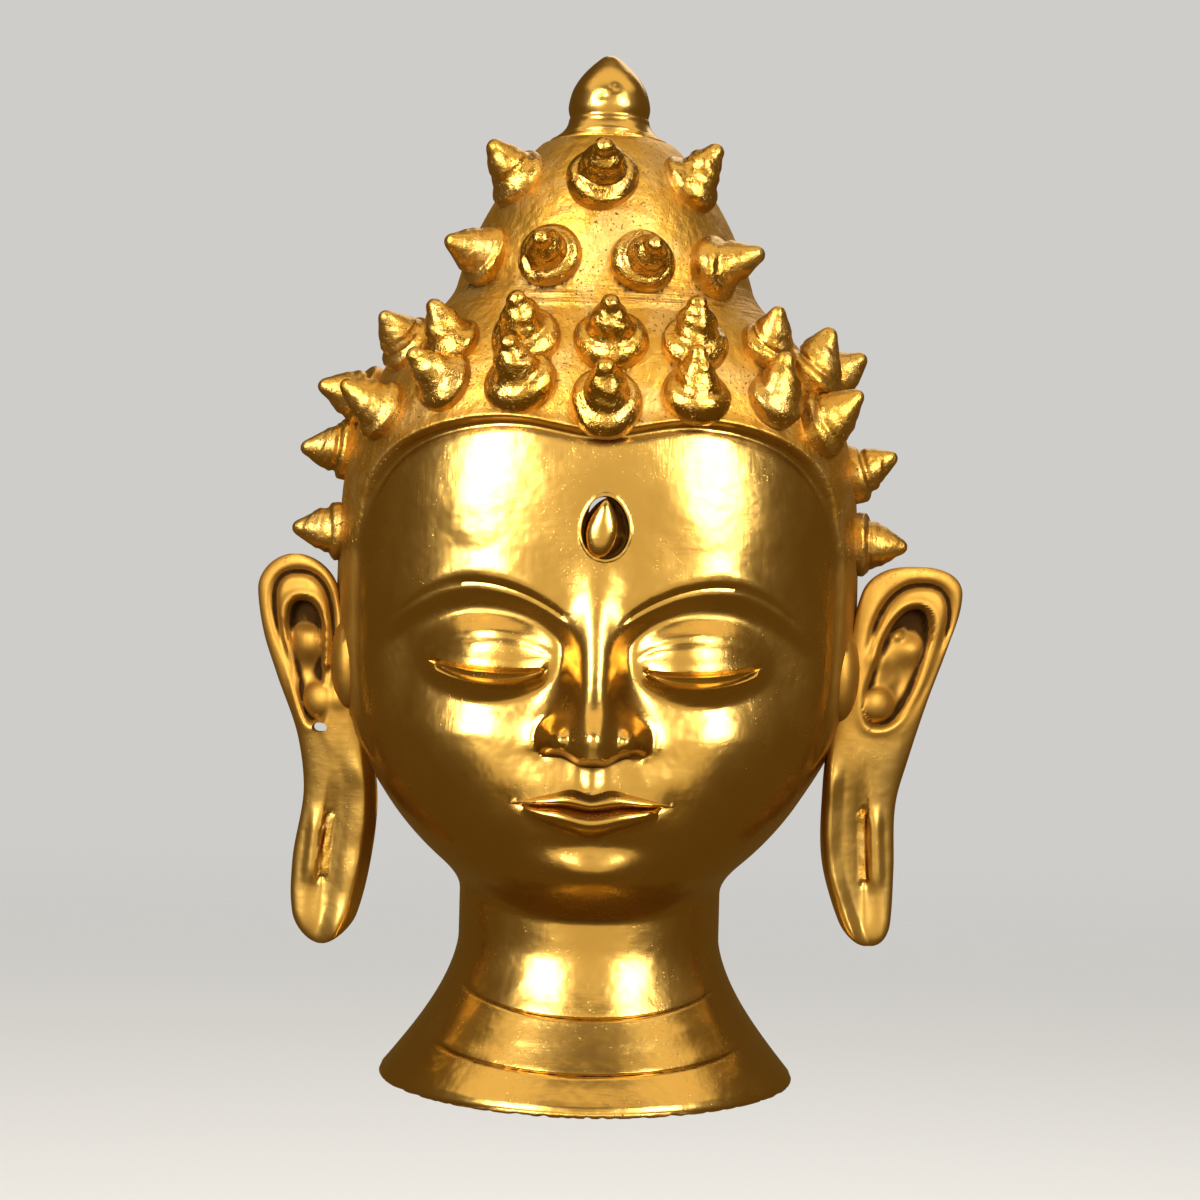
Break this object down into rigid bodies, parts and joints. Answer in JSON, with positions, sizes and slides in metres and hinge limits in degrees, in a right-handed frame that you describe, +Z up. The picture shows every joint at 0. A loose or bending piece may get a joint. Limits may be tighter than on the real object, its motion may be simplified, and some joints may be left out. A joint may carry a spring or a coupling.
{
  "type": "buddha wall mask",
  "caption": "Hollow cast head mask with an open back, cone-shaped hair curls, a knobbed crown, long-lobed ears and a flared neck, made to hang on a wall.",
  "frame": {"origin": "on the back face of the hanging bar, where the mask meets the wall, just above the nail hole", "axes": "+Z up, +Y back into the wall, +X to the right of someone who faces the mask"},
  "size_m": [0.1634, 0.0652, 0.24],
  "materials": {
    "brass": "polished cast brass, rougher and darker in the hair and the hollows"
  },
  "bodies": {
    "root": {"mask": "brass"}
  },
  "joints": []
}
